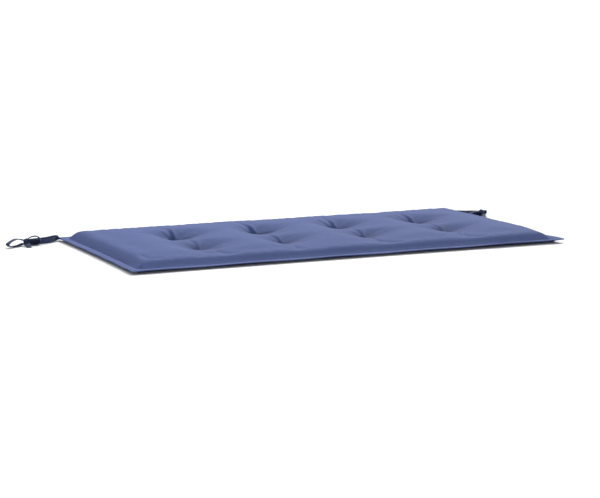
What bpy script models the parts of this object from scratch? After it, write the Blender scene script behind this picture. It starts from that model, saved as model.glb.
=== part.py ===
"""A long tufted seat cushion, with a tie at each back corner.

Metres, +Z up. X runs along the cushion's length and Y from its front edge to its back edge.
The origin is on the surface that the cushion lies on, under the middle of the cushion.
"""

import math

import bmesh
import bpy
from mathutils import Vector

MM = 0.001

# ---- the cushion ----------------------------------------------------------------------
LENGTH = 1.000  # corner to corner of the sewn rim, along X
DEPTH = 0.500  # corner to corner of the sewn rim, along Y
DRAWN_IN_LONG = 0.005  # how far the middle of a long side is drawn in
DRAWN_IN_END = 0.003  # how far the middle of an end is drawn in

RIM_WIDTH = 0.0155  # flat sewn rim outside the seam
RIM_TOP = 0.0075  # upper face of the rim
RIM_UNDER = 0.0045  # under face of the rim
RIM_WAVE = 0.0006  # how far the loose rim rises and falls
RIM_WAVES = 5  # rises along the cushion's length
CORNER_LIFT = 0.0024  # extra rise of the rim at the front right corner

EDGE_HEIGHT = 0.0234  # height of the filled edge
CROWN_HEIGHT = 0.0330  # height of the filled middle
CROWN_START = 0.025  # inset at which the crown starts to rise
CROWN_SPREAD = 0.070  # how gently it rises
PLUMP_RIGHT = 0.0016  # how much fuller the edge is at the right end
PLUMP_STEP = 0.010  # how soon it reaches that past the seam
FRONT_LOW = 0.0050  # how much lower the edge is along the front
CORNER_ROUND = 0.033  # inset past which the filled corner is square in plan
ROLL_INSET, ROLL_WIDTH, ROLL_DEPTH = 0.064, 0.021, 0.0024  # soft channel behind the edge

TOP_SECTION = (  # inset from the rim's edge, height
    (0.0000, RIM_TOP),
    (0.0130, RIM_TOP),
    (RIM_WIDTH, 0.0066),
    (0.0190, 0.0095),
    (0.0245, 0.0143),
    (0.0300, 0.0184),
    (0.0350, 0.0217),
    (0.0405, EDGE_HEIGHT),
)
UNDER_SECTION = (  # inset from the rim's edge, height
    (0.0000, RIM_UNDER),
    (RIM_WIDTH, 0.0036),
    (0.0186, 0.0010),
    (0.0260, 0.0000),
)

# ---- the tufts ------------------------------------------------------------------------
TUFT_COLUMNS = (-0.298, -0.106, 0.091, 0.293)  # x of each column of stitches
TUFT_ROWS = (  # y of the row, how far its stitches pull down, how far its hollows reach ahead
    (-0.084, 0.0182, 0.084),
    (0.062, 0.0194, 0.104),
)
HOLLOW_SHARE = 0.82  # the hollow's share of the pull
HOLLOW_LEFT, HOLLOW_RIGHT, HOLLOW_BACK = 0.047, 0.070, 0.027
PINCH_SHARE, PINCH_RADIUS = 0.12, 0.011  # the narrow pinch at the stitch
GATHER_SHARE, GATHER_WIDTH = 0.06, 0.0075  # the valleys that run out from the stitch
GATHERS = (  # direction in X, direction in Y, how far the valley reaches
    (0, 1, 0.048),
    (1, 0, 0.055),
    (-1, 0, 0.030),
    (0, -1, 0.034),
)

# Lines of the mesh's grid: insets from each edge, and steps out from each stitch.
RIM_LINES = [inset for inset, _ in TOP_SECTION] + [0.051, 0.064, 0.080, 0.100]
TUFT_STEPS = (-0.060, -0.034, -0.017, -0.006, 0.0, 0.006, 0.016, 0.030, 0.054)

# ---- the ties -------------------------------------------------------------------------
TAPE_WIDTH = 0.0110
TAPE_THICK = 0.0024
TAPE_STEP = 0.008  # spacing of the points along a tape
ON_EDGE = 0.0  # the tape's width stands upright
FLAT = math.pi / 2  # the tape's width lies level
KNOT_RADII = (0.0075, 0.0060, 0.0075)
KNOT_PLACE = (82.0, -39.0, 8.0)  # out, back and up, as in the routes

# Routes of one tie in millimetres from the rim's back corner: how far out past the end of
# the cushion, how far back, and how high. The right tie mirrors the left one, but its bow is
# tied closer to its corner and lies flatter.
TIE_ROUTES = {  # piece: how the tape is turned, route
    "front_strand": (ON_EDGE, (
        (0.4, -9.0, 6.0),
        (5.2, -10.4, 6.0),
        (11.0, -16.0, 6.0),
        (17.0, -24.5, 6.0),
        (26.0, -33.0, 6.0),
        (38.0, -37.6, 6.0),
        (54.0, -39.2, 6.0),
        (74.1, -39.0, 6.0),
    )),
    "back_strand": (ON_EDGE, (
        (-6.0, 0.4, 6.0),
        (-5.0, 4.6, 6.0),
        (-0.5, 8.0, 6.0),
        (6.5, 7.0, 6.0),
        (15.0, 1.0, 6.0),
        (26.0, -7.5, 6.0),
        (40.0, -14.5, 6.0),
        (55.0, -18.5, 6.0),
        (68.0, -20.5, 6.0),
        (77.0, -25.0, 6.0),
        (81.5, -32.6, 6.0),
    )),
    "long_loop": (FLAT, (
        (89.6, -39.5, 12.2),
        (98.0, -44.5, 15.4),
        (109.0, -51.0, 16.4),
        (120.5, -57.8, 13.4),
        (129.0, -62.9, 8.0),
        (122.5, -59.0, 3.0),
        (111.0, -52.2, 1.7),
        (99.5, -45.4, 2.3),
        (89.6, -39.5, 4.0),
    )),
    "short_loop": (FLAT, (
        (79.0, -46.2, 16.1),
        (71.0, -46.2, 19.2),
        (62.0, -46.2, 20.0),
        (54.0, -46.2, 16.0),
        (51.0, -46.2, 10.0),
        (53.5, -46.2, 4.4),
        (60.0, -46.2, 1.8),
        (67.0, -46.2, 1.6),
        (73.0, -46.2, 1.6),
    )),
    "front_end": (FLAT, (
        (80.8, -45.4, 6.0),
        (81.2, -50.0, 3.4),
        (82.0, -56.0, 1.8),
        (83.5, -65.0, 1.6),
        (85.0, -75.0, 1.6),
    )),
    "back_end": (ON_EDGE, (
        (76.3, -34.9, 6.0),
        (71.5, -31.0, 6.0),
        (63.0, -29.6, 6.0),
        (46.0, -30.5, 6.0),
    )),
}
NEAR_KNOT = (62.0, -39.0, 8.0)  # the right bow is tied closer to its corner
NEAR_BOW = {  # the right tie's own routes
    "front_strand": (ON_EDGE, (
        (0.4, -9.0, 6.0),
        (5.2, -10.4, 6.0),
        (11.0, -16.0, 6.0),
        (17.0, -24.5, 6.0),
        (26.0, -33.0, 6.0),
        (38.0, -37.8, 6.0),
        (54.1, -39.0, 6.0),
    )),
    "back_strand": (ON_EDGE, (
        (-6.0, 0.4, 6.0),
        (-5.0, 4.6, 6.0),
        (-0.5, 8.0, 6.0),
        (6.5, 7.0, 6.0),
        (15.0, 1.0, 6.0),
        (26.0, -7.5, 6.0),
        (38.0, -13.5, 6.0),
        (50.0, -18.5, 6.0),
        (58.0, -24.5, 6.0),
        (61.5, -32.6, 6.0),
    )),
    "long_loop": (FLAT, (
        (67.0, -34.0, 9.4),
        (71.9, -29.1, 10.6),
        (79.4, -21.6, 11.0),
        (85.8, -15.2, 9.0),
        (87.8, -13.2, 6.0),
        (85.3, -15.7, 2.9),
        (78.4, -22.6, 1.8),
        (71.5, -29.5, 2.2),
        (67.0, -34.0, 3.6),
    )),
    "short_loop": (FLAT, (
        (53.4, -46.2, 11.2),
        (45.0, -46.2, 11.8),
        (35.0, -46.2, 11.4),
        (27.8, -46.2, 9.4),
        (25.2, -46.2, 6.4),
        (27.8, -46.2, 3.4),
        (36.0, -46.2, 1.9),
        (44.0, -46.2, 1.7),
        (53.0, -46.2, 1.6),
    )),
    "front_end": (FLAT, (
        (60.8, -45.4, 6.0),
        (60.4, -50.5, 4.0),
        (58.5, -56.5, 2.1),
        (54.8, -64.5, 1.6),
        (50.5, -73.0, 1.6),
    )),
    "back_end": (ON_EDGE, (
        (56.3, -34.9, 6.0),
        (51.5, -31.0, 6.0),
        (43.0, -28.6, 6.0),
        (28.0, -25.5, 6.0),
    )),
}
SIDES = {  # the side of each tie: sign on X, its knot's place, the routes in which it differs
    "left": (-1, KNOT_PLACE, {}),
    "right": (1, NEAR_KNOT, NEAR_BOW),
}

CLOTH = ((0.105, 0.135, 0.330, 1.0), 0.85)  # colour, roughness
TAPE_CLOTH = ((0.022, 0.035, 0.090, 1.0), 0.80)


def clear_scene():
    for thing in list(bpy.data.objects):
        bpy.data.objects.remove(thing)


def principled(name, finish):
    colour, roughness = finish
    material = bpy.data.materials.new(name)
    material.use_nodes = True
    shader = material.node_tree.nodes["Principled BSDF"]
    shader.inputs["Base Color"].default_value = colour
    shader.inputs["Roughness"].default_value = roughness
    shader.inputs["Metallic"].default_value = 0.0
    return material


def add_object(name, data, finish, collection):
    thing = bpy.data.objects.new(name, data)
    collection.objects.link(thing)
    data.materials.append(principled(name, finish))
    return thing


# ---- heights of the cushion -----------------------------------------------------------
def soften(share):
    """A share between 0 and 1, eased at both of its limits."""
    share = min(max(share, 0.0), 1.0)
    return share * share * (3 - 2 * share)


def along(section, inset):
    """Height at an inset, read from a section's table."""
    for (inset_a, high_a), (inset_b, high_b) in zip(section, section[1:]):
        if inset <= inset_b:
            share = max(inset - inset_a, 0.0) / (inset_b - inset_a)
            return high_a + (high_b - high_a) * share
    return section[-1][1]


def insets(x, y):
    """Distance in from the nearer end, and in from the nearer long side."""
    return LENGTH / 2 - abs(x), DEPTH / 2 - abs(y)


def edge_inset(x, y):
    """Distance in from the rim's edge, with the filled corner rounded in plan."""
    from_end, from_side = insets(x, y)
    if max(from_end, from_side) >= CORNER_ROUND:
        return min(from_end, from_side)
    return CORNER_ROUND - math.hypot(CORNER_ROUND - from_end, CORNER_ROUND - from_side)


def rim_rise(x, y):
    """How far the loose rim stands above its usual height."""
    looseness = max(0.0, 1.0 - min(insets(x, y)) / RIM_WIDTH)
    wave = RIM_WAVE * math.sin(2 * math.pi * RIM_WAVES * (x / LENGTH + y / DEPTH))
    to_the_right = max(0.0, 2 * x / LENGTH - 0.3) / 0.7
    to_the_front = 0.5 - y / DEPTH
    return looseness * (wave + CORNER_LIFT * to_the_right * to_the_front)


def crown_rise(x, y):
    """How far the fill stands above the height of its edge."""
    rise = CROWN_HEIGHT - EDGE_HEIGHT
    for inset in insets(x, y):
        rise *= 1.0 - math.exp(-max(inset - CROWN_START, 0.0) / CROWN_SPREAD)
    return rise


def plump_rise(x, y):
    """How far the fuller right end stands up, and how far the lower front lies down."""
    filled = 1.0 - math.exp(-max(edge_inset(x, y) - RIM_WIDTH, 0.0) / PLUMP_STEP)
    fuller = PLUMP_RIGHT * soften((2 * x / LENGTH - 0.5) / 0.4)
    return filled * (fuller - FRONT_LOW * soften((-2 * y / DEPTH - 0.55) / 0.4))


def edge_roll(x, y):
    """The soft channel behind the filled edge, which fades out toward the corners."""
    from_end, from_side = insets(x, y)
    deepest = 0.0
    for inset, other in ((from_end, from_side), (from_side, from_end)):
        fading = min(max(other / 0.09 - 0.4, 0.0), 1.0)
        deepest = max(deepest, fading * math.exp(-(((inset - ROLL_INSET) / ROLL_WIDTH) ** 2)))
    return -ROLL_DEPTH * deepest


def gather_share(out_x, out_y):
    """How strongly the nearest valley of a tuft pulls at an offset from its stitch."""
    strongest = 0.0
    for way_x, way_y, reach in GATHERS:
        forward = out_x * way_x + out_y * way_y
        across = out_x * way_y - out_y * way_x
        if forward >= 0.0:
            fading = math.exp(-forward / reach - (across / GATHER_WIDTH) ** 2)
            strongest = max(strongest, fading)
    return strongest


def tuft_pull(x, y):
    """How far all the tufts together pull the upper side down."""
    total = 0.0
    for column in TUFT_COLUMNS:
        for row, pull, reach_ahead in TUFT_ROWS:
            out_x, out_y = x - column, y - row
            side = out_x / (HOLLOW_LEFT if out_x < 0 else HOLLOW_RIGHT)
            ahead = out_y / (reach_ahead if out_y < 0 else HOLLOW_BACK)
            share = HOLLOW_SHARE * math.exp(-(side ** 2) - ahead ** 2)
            share += PINCH_SHARE * math.exp(-math.hypot(out_x, out_y) / PINCH_RADIUS)
            share += GATHER_SHARE * gather_share(out_x, out_y)
            total += pull * share
    return total


def top_height(x, y):
    height = along(TOP_SECTION, edge_inset(x, y)) + rim_rise(x, y)
    height += crown_rise(x, y) + plump_rise(x, y) + edge_roll(x, y)
    return height - tuft_pull(x, y)


def drawn_in(point):
    """The point, with the sides of the cushion pulled in between its corners."""
    bow_x = 1.0 - (2 * point.x / LENGTH) ** 2
    bow_y = 1.0 - (2 * point.y / DEPTH) ** 2
    pull_x = 1.0 - 2 * DRAWN_IN_END / LENGTH * bow_y
    pull_y = 1.0 - 2 * DRAWN_IN_LONG / DEPTH * bow_x
    return Vector((point.x * pull_x, point.y * pull_y, point.z))


# ---- the cushion's mesh ---------------------------------------------------------------
def grid_lines(size, stations):
    """Lines across one side of the grid, close together where the cushion bends."""
    lines = [side * (size / 2 - inset) for side in (-1, 1) for inset in RIM_LINES]
    lines += [station + step for station in stations for step in TUFT_STEPS]
    lines += [(near + far) / 2 for near, far in zip(stations, stations[1:])]
    return sorted(lines)


def upper_side(shell):
    """A grid with its lines moved to their places, raised to the upper side."""
    lines_x = grid_lines(LENGTH, TUFT_COLUMNS)
    lines_y = grid_lines(DEPTH, [row for row, *_ in TUFT_ROWS])
    last_x, last_y = len(lines_x) - 1, len(lines_y) - 1
    bmesh.ops.create_grid(shell, x_segments=last_x, y_segments=last_y, size=1.0)
    for point in shell.verts:
        x = lines_x[round((point.co.x + 1) / 2 * last_x)]
        y = lines_y[round((point.co.y + 1) / 2 * last_y)]
        point.co = (x, y, top_height(x, y))


def underside(shell):
    """Rings drawn down and in from the rim's edge, closed by one flat face."""
    inset_before = 0.0
    for inset, height in UNDER_SECTION:
        edge = [side for side in shell.edges if side.is_boundary]
        bmesh.ops.extrude_edge_only(shell, edges=edge)
        ring = {point for side in shell.edges if side.is_boundary for point in side.verts}
        for point in ring:
            x = point.co.x * (LENGTH / 2 - inset) / (LENGTH / 2 - inset_before)
            y = point.co.y * (DEPTH / 2 - inset) / (DEPTH / 2 - inset_before)
            point.co = (x, y, height + rim_rise(x, y))
        inset_before = inset
    bmesh.ops.holes_fill(shell, edges=[side for side in shell.edges if side.is_boundary])


def make_cushion(collection):
    shell = bmesh.new()
    upper_side(shell)
    underside(shell)
    for point in shell.verts:
        point.co = drawn_in(point.co)
    bmesh.ops.recalc_face_normals(shell, faces=shell.faces)
    mesh = bpy.data.meshes.new("cushion")
    shell.to_mesh(mesh)
    shell.free()
    mesh.shade_smooth()
    mesh.set_sharp_from_angle(angle=math.radians(50))
    add_object("cushion", mesh, CLOTH, collection)


# ---- the ties' shapes -----------------------------------------------------------------
def tie_point(place, mirror):
    """A place on a tie, given from the rim's back corner, in the cushion's own frame."""
    out, back, up = (distance * MM for distance in place)
    return Vector((mirror * (LENGTH / 2 + out), DEPTH / 2 + back, up))


def smooth_points(marks):
    """Points about a step apart on a smooth curve that passes through the marks."""
    lead_in, lead_out = 2 * marks[0] - marks[1], 2 * marks[-1] - marks[-2]
    chain = [lead_in, *marks, lead_out]
    points = []
    for before, start, stop, after in zip(chain, chain[1:], chain[2:], chain[3:]):
        steps = max(1, round((stop - start).length / TAPE_STEP))
        for step in range(steps):
            t = step / steps
            bend = (2 * before - 5 * start + 4 * stop - after) * t ** 2
            turn = (3 * start - before - 3 * stop + after) * t ** 3
            points.append((2 * start + (stop - before) * t + bend + turn) / 2)
    return points + [marks[-1]]


def make_tape(name, turned, points, collection):
    curve = bpy.data.curves.new(name, "CURVE")
    curve.dimensions = "3D"
    curve.twist_mode = "MINIMUM"
    curve.bevel_depth = TAPE_THICK / 2
    curve.extrude = (TAPE_WIDTH - TAPE_THICK) / 2
    curve.bevel_resolution = 2
    curve.use_fill_caps = True
    spline = curve.splines.new("POLY")
    spline.points.add(len(points) - 1)
    for node, point in zip(spline.points, points):
        node.co = (*point, 1.0)
        node.tilt = turned
    add_object(name, curve, TAPE_CLOTH, collection)


def make_knot(name, centre, collection):
    lump = bmesh.new()
    bmesh.ops.create_icosphere(lump, subdivisions=2, radius=1.0)
    bmesh.ops.scale(lump, vec=KNOT_RADII, verts=lump.verts)
    mesh = bpy.data.meshes.new(name)
    lump.to_mesh(mesh)
    lump.free()
    mesh.shade_smooth()
    add_object(name, mesh, TAPE_CLOTH, collection).location = centre


def make_tie(side, mirror, knot_place, own_routes, collection):
    make_knot(f"tie_{side}_knot", tie_point(knot_place, mirror), collection)
    for piece, (turned, route) in {**TIE_ROUTES, **own_routes}.items():
        points = smooth_points([tie_point(place, mirror) for place in route])
        make_tape(f"tie_{side}_{piece}", turned, points, collection)


def build():
    clear_scene()
    collection = bpy.data.collections.new("bench_cushion")
    bpy.context.scene.collection.children.link(collection)
    make_cushion(collection)
    for side, (mirror, knot_place, own_routes) in SIDES.items():
        make_tie(side, mirror, knot_place, own_routes, collection)


build()
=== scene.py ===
"""A long tufted seat cushion of woven cloth, with a tape tie in a bow at each back corner.

Metres, +Z up. X runs along the cushion and Y from its front edge to its back edge. The
cushion lies on the floor at z = 0.
"""

import math

import bmesh
import bpy
import numpy as np
from mathutils import Euler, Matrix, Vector, noise
from mathutils.bvhtree import BVHTree


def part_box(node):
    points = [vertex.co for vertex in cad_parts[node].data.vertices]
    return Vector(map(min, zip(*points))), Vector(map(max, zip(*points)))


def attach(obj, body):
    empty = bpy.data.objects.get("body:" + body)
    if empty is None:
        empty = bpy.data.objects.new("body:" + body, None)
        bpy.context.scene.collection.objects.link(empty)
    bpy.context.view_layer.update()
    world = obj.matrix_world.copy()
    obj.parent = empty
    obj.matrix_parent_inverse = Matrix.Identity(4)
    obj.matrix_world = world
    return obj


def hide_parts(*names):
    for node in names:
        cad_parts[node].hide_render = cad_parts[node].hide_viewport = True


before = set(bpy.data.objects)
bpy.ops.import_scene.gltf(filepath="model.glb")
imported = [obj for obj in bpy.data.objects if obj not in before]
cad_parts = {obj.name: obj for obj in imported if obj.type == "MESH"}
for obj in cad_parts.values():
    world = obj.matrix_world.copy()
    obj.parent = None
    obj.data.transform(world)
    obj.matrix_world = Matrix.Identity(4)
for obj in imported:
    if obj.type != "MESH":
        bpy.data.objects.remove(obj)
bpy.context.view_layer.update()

MM = 0.001
UP = Vector((0, 0, 1))
DOWN = Vector((0, 0, -1))

# ---- the cushion's sizes ----
cushion_low, cushion_high = (Vector(corner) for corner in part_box("cushion"))
LENGTH = cushion_high.x - cushion_low.x
DEPTH = cushion_high.y - cushion_low.y
DRAWN_IN_LONG = 0.005  # how far the middle of a long side is drawn in
DRAWN_IN_END = 0.003

RIM_WIDTH = 0.0155  # flat sewn rim outside the seam
RIM_TOP = 0.0075
RIM_UNDER = 0.0050
RIM_WAVE = 0.0006
RIM_WAVES = 5
CORNER_LIFT = 0.0024  # extra rise of the rim at the front right corner
RIM_CORNER_ROUND = 0.004

EDGE_HEIGHT = 0.0234
CROWN_HEIGHT = 0.0330
CROWN_START = 0.025  # inset where the crown begins to rise
CROWN_SPREAD = 0.070
PLUMP_RIGHT, PLUMP_STEP = 0.0016, 0.010  # the right end's edge is fuller
FRONT_LOW = 0.0050  # how much lower the front's edge is
CORNER_ROUND = 0.033
ROLL_INSET, ROLL_WIDTH, ROLL_DEPTH = 0.064, 0.021, 0.0024
ROLL_FADE, ROLL_FREE = 0.09, 0.4  # how the channel beside the edge fades at the corners
WALL_SPAN = 0.04  # inset at which the filled edge's wall ends

LUMPS = (  # height, how close along X and along Y, layer of the noise
    (0.0012, 9.0, 14.0, 3.1),
    (0.00022, 30.0, 46.0, 7.7),
)
LUMPS_START, LUMPS_FADE = 0.042, 0.060
PUCKER_HEIGHT, PUCKER_CLOSE, PUCKER_START = 0.0003, 95.0, 0.002
PUCKER_SIDES = ((1, 1.0, 0.007), (-1, 0.5, 0.006))  # inward or outward, share, reach

TOP_SECTION = (  # inset from the rim's edge, height
    (0.0000, 0.0069),
    (0.0008, 0.0074),
    (0.0030, RIM_TOP),
    (0.0125, RIM_TOP),
    (0.0145, 0.0070),
    (RIM_WIDTH, 0.0063),
    (0.0163, 0.0069),
    (0.0200, 0.0104),
    (0.0250, 0.0147),
    (0.0300, 0.0184),
    (0.0340, 0.0211),
    (0.0370, 0.0226),
    (0.0405, EDGE_HEIGHT),
)
RIM_EDGE = (  # inset from the rim's edge, height: the turned edge with the join in its middle
    (0.0000, 0.0065),
    (0.0005, 0.0062),
    (0.0003, 0.0059),
    (0.0009, 0.0054),
    (0.0024, RIM_UNDER),
    (0.0080, 0.0048),
    (0.0125, 0.0042),
    (RIM_WIDTH, 0.0036),
    (0.0168, 0.0021),
    (0.0186, 0.0010),
    (0.0215, 0.0002),
    (0.0260, 0.0000),
)

# ---- the tufts ----
TUFT_COLUMNS = (-0.298, -0.106, 0.091, 0.293)
TUFT_ROWS = (-0.084, 0.062)
HOLLOW_SHARE = 0.87  # the hollow is steepest behind the stitch and gentle in front of it
HOLLOW_LEFT, HOLLOW_RIGHT, HOLLOW_BACK = 0.047, 0.070, 0.027
HOLLOW_FRONT = (0.084, 0.104)  # front row, back row
HOLLOW_TURN = -5  # degrees
PINCH_SHARE, PINCH_RADIUS = 0.13, 0.0085
TUFTS = (  # column, row, how far the stitch pulls down, turn in degrees, strength of creases
    (0, 0, 0.0186, -6, 0.32),
    (1, 0, 0.0182, 4, 0.36),
    (2, 0, 0.0178, -3, 0.34),
    (3, 0, 0.0180, 6, 0.28),
    (0, 1, 0.0196, -4, 1.05),
    (1, 1, 0.0198, 4, 1.20),
    (2, 1, 0.0194, -2, 0.80),
    (3, 1, 0.0192, 3, 0.75),
)
CREASES = (  # direction in degrees, reach, width left and right of it, depth, ridge on its right
    (96, 0.072, 0.0075, 0.0042, 0.0052, 0.0030),
    (-5, 0.090, 0.0065, 0.0150, 0.0042, 0.0006),
    (124, 0.062, 0.0060, 0.0060, 0.0032, 0.0014),
    (152, 0.052, 0.0060, 0.0060, 0.0020, 0.0010),
    (186, 0.046, 0.0060, 0.0060, 0.0014, 0.0006),
    (250, 0.050, 0.0070, 0.0070, 0.0014, 0.0004),
    (318, 0.044, 0.0060, 0.0060, 0.0012, 0.0004),
)

# ---- the underside, the cover's mesh and how the cover settles ----
UNDER_PINCH, UNDER_PINCH_REACH = 0.0022, 0.012
UNDER_DIP, UNDER_DIP_REACH = 0.0010, 0.03
UNDER_START, UNDER_FADE = 0.024, 0.03
UNDER_SKIP = 3  # the flat underside needs a third of the upper side's lines
COVER_LINES_X, COVER_LINES_Y = 358, 193
RIM_CROWD, RIM_CROWD_REACH = 1.9, 0.026  # how much closer its lines lie
TUFT_CROWD, TUFT_CROWD_REACH = 0.55, 0.035
SETTLE_GRID = (181, 91)
SETTLE_FRAMES = 20
SETTLE_LIMIT = 0.0018
HELD_INSET = 0.043  # the sewn edge is held as far in as this
HELD_ROUND_TUFT = 0.005

# Where the cover has faded, and where shade is painted on it: in the tufts' hollows and on its
# underside near the rim.
FADED_EDGE = 0.0015
FADED_ROLL, FADED_ROLL_INSET, FADED_ROLL_REACH = 0.15, 0.042, 0.006
HOLLOW_FULL, HOLLOW_MOST = 0.024, 0.7
UNDER_SHADE, UNDER_SHADE_REACH = 0.9, 0.030

# ---- the ties ----
TAPE_WIDTH = 0.0110
TAPE_THICK = 0.0015
TAPE_STEP = 0.0015
TAPE_TURN_LENGTH = 0.020  # over which a tape turns from lying level to standing on edge
TAPE_TWIST, TAPE_TWIST_CLOSE = 0.12, 60.0  # how far it turns to and fro
TAPE_CUP, TAPE_CUP_CLOSE = 0.00035, 130.0
SELVEDGE_SWELL, FACE_SINK = 1.12, 0.94
ON_EDGE = 0.0
FLAT = math.pi / 2

KNOT_BANDS = (  # turn about Z and Y in degrees, half height and half depth, width, shift along X
    (0, 6, 0.0064, 0.0050, 0.0096, 0.0000),
    (22, -24, 0.0070, 0.0056, 0.0076, 0.0006),
)
KNOT_STEPS = 36
KNOT_STEP_LENGTH = 0.0011
KNOT_SQUEEZE, KNOT_ROUNDING = 0.06, 0.16

# Routes of each tie in millimetres from the rim's back corner: out past the cushion's end,
# back, and up. The two strands start inside the rim, where the tape is sewn in, and leave
# it in the same way on both ties.
FRONT_START = (
    (-7.0, -7.5, 6.2),
    (0.4, -9.0, 6.2),
    (5.2, -10.4, 6.0),
    (11.0, -16.0, 6.0),
    (17.0, -24.5, 6.0),
    (26.0, -33.0, 6.0),
)
BACK_START = (
    (-7.0, -7.0, 6.2),
    (-6.0, 0.4, 6.2),
    (-5.0, 4.6, 6.0),
    (-0.5, 8.0, 6.0),
    (6.5, 7.0, 6.0),
    (15.0, 1.0, 6.0),
    (26.0, -7.5, 6.0),
)
FAR_KNOT = (82.0, -39.0, 8.0)
FAR_BOW = {  # piece: how the tape is turned, route
    "front_strand": (ON_EDGE, (
        *FRONT_START,
        (38.0, -37.6, 6.0),
        (54.0, -39.2, 6.0),
        (76.0, -39.0, 6.0),
    )),
    "back_strand": (ON_EDGE, (
        *BACK_START,
        (40.0, -14.5, 6.0),
        (55.0, -18.5, 6.0),
        (68.0, -20.5, 6.0),
        (77.0, -25.0, 6.0),
        (81.5, -34.0, 6.0),
    )),
    "long_loop": (FLAT, (
        (87.0, -38.2, 10.8),
        (98.0, -44.5, 15.4),
        (109.0, -51.0, 16.4),
        (120.5, -57.8, 13.4),
        (129.0, -62.9, 8.0),
        (122.5, -59.0, 3.0),
        (111.0, -52.2, 1.7),
        (99.5, -45.4, 2.3),
        (87.0, -38.2, 4.8),
    )),
    "short_loop": (FLAT, (
        (82.0, -44.5, 12.5),
        (77.5, -46.0, 16.6),
        (71.0, -46.2, 19.2),
        (62.0, -46.2, 20.0),
        (54.0, -46.2, 16.0),
        (51.0, -46.2, 10.0),
        (53.5, -46.2, 4.4),
        (60.0, -46.2, 1.8),
        (67.0, -46.2, 1.7),
        (76.0, -45.0, 3.2),
    )),
    "front_end": (FLAT, (
        (80.6, -43.5, 7.6),
        (80.8, -46.4, 5.6),
        (81.2, -50.0, 3.4),
        (82.0, -56.0, 1.8),
        (83.5, -65.0, 1.3),
        (85.0, -75.0, 1.2),
    )),
    "back_end": (ON_EDGE, (
        (79.0, -37.0, 6.0),
        (71.5, -31.0, 6.0),
        (63.0, -29.6, 6.0),
        (46.0, -30.5, 6.0),
    )),
}
NEAR_KNOT = (62.0, -39.0, 8.0)  # the right bow is tied closer to its corner
NEAR_BOW = {
    "front_strand": (ON_EDGE, (
        *FRONT_START,
        (38.0, -37.8, 6.0),
        (56.0, -39.0, 6.0),
    )),
    "back_strand": (ON_EDGE, (
        *BACK_START,
        (38.0, -13.5, 6.0),
        (50.0, -18.5, 6.0),
        (58.0, -24.5, 6.0),
        (61.5, -34.0, 6.0),
    )),
    "long_loop": (FLAT, (
        (65.2, -35.8, 8.4),
        (71.9, -29.1, 10.6),
        (79.4, -21.6, 11.0),
        (85.8, -15.2, 9.0),
        (87.8, -13.2, 6.0),
        (85.3, -15.7, 2.9),
        (78.4, -22.6, 1.8),
        (71.5, -29.5, 2.2),
        (65.2, -35.8, 4.4),
    )),
    "short_loop": (FLAT, (
        (59.5, -44.8, 8.6),
        (54.9, -46.0, 10.8),
        (45.0, -46.2, 11.8),
        (35.0, -46.2, 11.4),
        (27.8, -46.2, 9.4),
        (25.2, -46.2, 6.4),
        (27.8, -46.2, 3.4),
        (36.0, -46.2, 1.9),
        (44.0, -46.2, 1.7),
        (56.0, -45.0, 3.2),
    )),
    "front_end": (FLAT, (
        (60.6, -43.5, 7.6),
        (60.8, -46.4, 6.0),
        (60.4, -50.5, 4.2),
        (58.5, -56.5, 2.2),
        (54.8, -64.5, 1.3),
        (50.5, -73.0, 1.2),
    )),
    "back_end": (ON_EDGE, (
        (59.0, -37.0, 6.0),
        (51.5, -31.0, 6.0),
        (43.0, -28.6, 6.0),
        (28.0, -25.5, 6.0),
    )),
}
SIDES = {  # which way out is, place of the knot, routes
    "left": (-1, FAR_KNOT, FAR_BOW),
    "right": (1, NEAR_KNOT, NEAR_BOW),
}

# ---- sewing ----
STITCH_LENGTH = 0.0036
STITCH_PITCH = 0.0043
THREAD_WIDTH = 0.00062
THREAD_LIFT = 0.35  # thread widths
TUFT_STITCH_LENGTH = 0.0052
TUFT_STRANDS = (  # way in degrees, shifts across in millimetres, lift in thread widths
    (20, (-0.7, 0.0, 0.7), 0.5),
    (110, (-0.4, 0.4), 1.1),
)
ABOVE_ALL = 0.1  # clear of the cover, where the search for its surface starts

# ---- the finishes ----
CLOTH_BLUE = (0.066, 0.097, 0.255, 1.0)
CLOTH_PALE = (0.090, 0.127, 0.310, 1.0)
# The cover's colour for painted shade, in its hollows and on its underside near the rim.
CLOTH_PAINTED_SHADE = (0.026, 0.038, 0.095, 1.0)
THREAD_BLUE = (0.070, 0.092, 0.215, 1.0)
TAPE_NAVY = (0.030, 0.042, 0.096, 1.0)
TAPE_PALE = (0.046, 0.062, 0.140, 1.0)
FLOOR_WHITE = (0.93, 0.93, 0.93, 1.0)
YARN_PITCH = 0.00060
RIB_PITCH = 0.00110
TAPE_PITCH = 0.0009

# ---- camera, light and floor ----
CAMERA_PLACE = (-1.5693, -3.3437, 0.5564)
CAMERA_DOWN, CAMERA_TURN = 8.81, 24.8  # degrees
CAMERA_LENS, CAMERA_SENSOR = 101.8, 36.0  # millimetres
SUN_WAY, SUN_POWER, SUN_SPREAD = (-0.524, -0.631, -0.574), 3.0, 12
LAMP_PLACE, LAMP_AIM = Vector((-0.45, 0.35, 1.30)), Vector((-0.10, 0.0, 0.0))
LAMP_SIZE, LAMP_POWER = (0.8, 0.6), 4.5
SKY_COLOUR = (0.95, 0.97, 1.0, 1.0)
FLOOR_REACH, FLOOR_DROP = 150.0, 0.0003


def add_object(name, data):
    made = bpy.data.objects.new(name, data)
    bpy.context.scene.collection.objects.link(made)
    return made


def place_camera():
    camera = add_object("camera", bpy.data.cameras.new("camera"))
    camera.data.lens = CAMERA_LENS
    camera.data.sensor_width = CAMERA_SENSOR
    camera.location = CAMERA_PLACE
    camera.rotation_euler = (math.radians(90 - CAMERA_DOWN), 0, math.radians(-CAMERA_TURN))
    bpy.context.scene.camera = camera


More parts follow.
